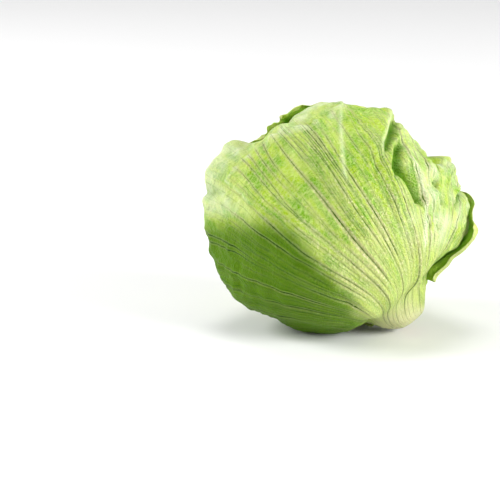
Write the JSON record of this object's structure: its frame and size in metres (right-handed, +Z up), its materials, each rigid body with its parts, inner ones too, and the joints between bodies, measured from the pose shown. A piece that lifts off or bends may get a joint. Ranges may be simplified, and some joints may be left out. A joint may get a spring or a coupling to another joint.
{
  "type": "head of lettuce",
  "caption": "Whole crisphead lettuce lying on its side: veined green wrapper leaves closed round packed paler leaves, a yellow heart and a cut stem.",
  "frame": {"origin": "on the surface the head rests on, below the middle of its bounding box", "axes": "+Z up from the surface; -Y towards the side with the broad front leaf; the cut stem points down and towards +X"},
  "size_m": [0.1817, 0.1551, 0.148],
  "materials": {
    "wrapper_leaf": "satin waxy green leaf with pale raised veins",
    "head_leaf": "satin pale green leaf",
    "heart_leaf": "satin yellow leaf",
    "stem": "satin cream stem, matte at the cut"
  },
  "bodies": {
    "root": {"wrapper_leaf_1": "wrapper_leaf", "wrapper_leaf_2": "wrapper_leaf", "wrapper_leaf_3": "wrapper_leaf", "wrapper_leaf_4": "wrapper_leaf", "wrapper_leaf_5": "wrapper_leaf", "wrapper_leaf_6": "wrapper_leaf", "head_leaf_01": "head_leaf", "head_leaf_02": "head_leaf", "head_leaf_03": "head_leaf", "head_leaf_04": "head_leaf", "head_leaf_05": "head_leaf", "head_leaf_06": "head_leaf", "head_leaf_07": "head_leaf", "head_leaf_08": "head_leaf", "head_leaf_09": "head_leaf", "heart_leaf_1": "heart_leaf", "heart_leaf_2": "heart_leaf", "heart_leaf_3": "heart_leaf", "heart_leaf_4": "heart_leaf", "heart_bud": "heart_leaf", "core_stem": "stem"}
  },
  "joints": []
}
